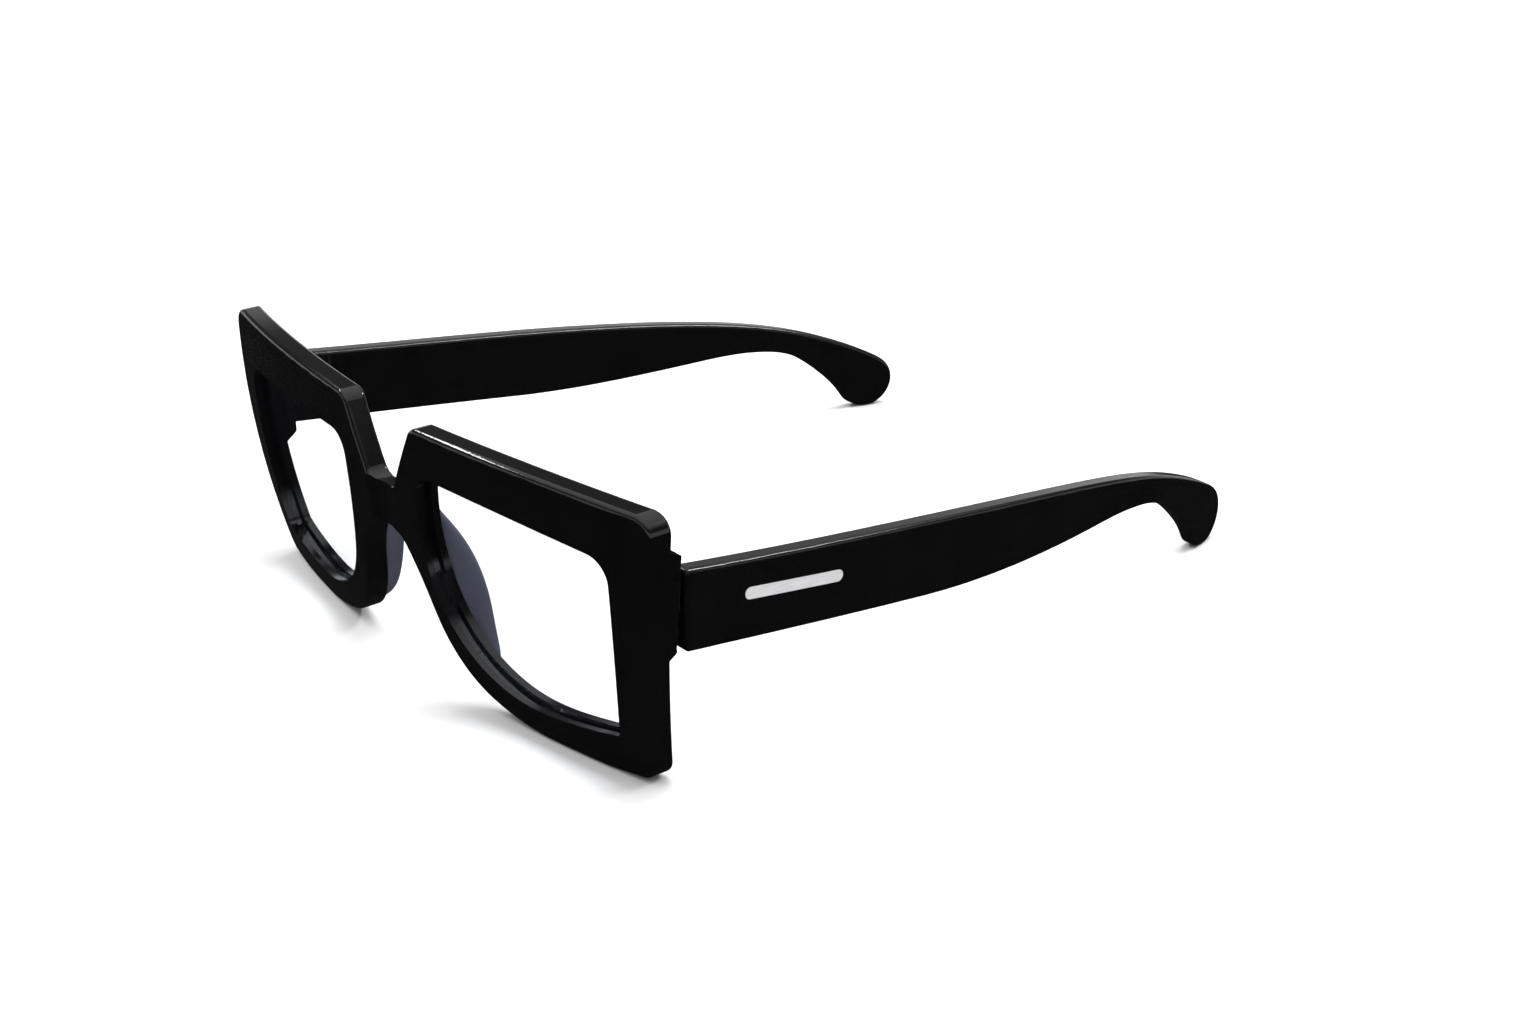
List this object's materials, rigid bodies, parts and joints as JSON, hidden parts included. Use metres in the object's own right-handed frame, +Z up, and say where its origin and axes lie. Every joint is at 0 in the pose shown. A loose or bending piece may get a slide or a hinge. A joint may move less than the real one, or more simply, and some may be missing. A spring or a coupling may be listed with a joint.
{
  "type": "eyeglasses",
  "caption": "Oversized square eyeglasses with a thick glossy black front, clear lenses and wide tapering temples with dropped tips, folding on knuckled hinges.",
  "frame": {"origin": "centre of the footprint, on the surface that the rims and the temple tips stand on", "axes": "+X is the wearer's left, the front looks towards -Y, the temples run towards +Y, +Z is up"},
  "size_m": [0.1436, 0.1683, 0.0538],
  "materials": {
    "front_acetate": "polished",
    "temple_acetate": "polished outside, satin inside",
    "pad_acetate": "polished",
    "lens": "clear, polished",
    "core_wire": "drawn",
    "hinge_metal": "dark nickel, satin",
    "screw_metal": "turned",
    "washer": "matte",
    "silver_bar": "bright"
  },
  "bodies": {
    "front": {"front_frame": "front_acetate", "nose_pad_left": "pad_acetate", "nose_pad_right": "pad_acetate", "lens_left": "lens", "lens_right": "lens", "front_hinge_leaf_left": "hinge_metal", "front_hinge_leaf_right": "hinge_metal", "front_leaf_screws_left": "screw_metal", "front_leaf_screws_right": "screw_metal", "hinge_screw_left": "screw_metal", "hinge_screw_right": "screw_metal", "hinge_washers_left": "washer", "hinge_washers_right": "washer"},
    "left_temple": {"temple_left": "temple_acetate", "temple_core_left": "core_wire", "temple_hinge_leaf_left": "hinge_metal", "temple_leaf_screws_left": "screw_metal", "temple_inlay_left": "silver_bar"},
    "right_temple": {"temple_right": "temple_acetate", "temple_core_right": "core_wire", "temple_hinge_leaf_right": "hinge_metal", "temple_leaf_screws_right": "screw_metal", "temple_inlay_right": "silver_bar"}
  },
  "joints": [
    {"name": "left_temple_hinge", "type": "hinge", "parent": "front", "child": "left_temple", "pos_m": [0.0646, -0.066, 0.037], "axis": [0, 0, 1], "range_deg": [0, 86]},
    {"name": "right_temple_hinge", "type": "hinge", "parent": "front", "child": "right_temple", "pos_m": [-0.0646, -0.066, 0.037], "axis": [0, 0, -1], "range_deg": [0, 76]}
  ]
}
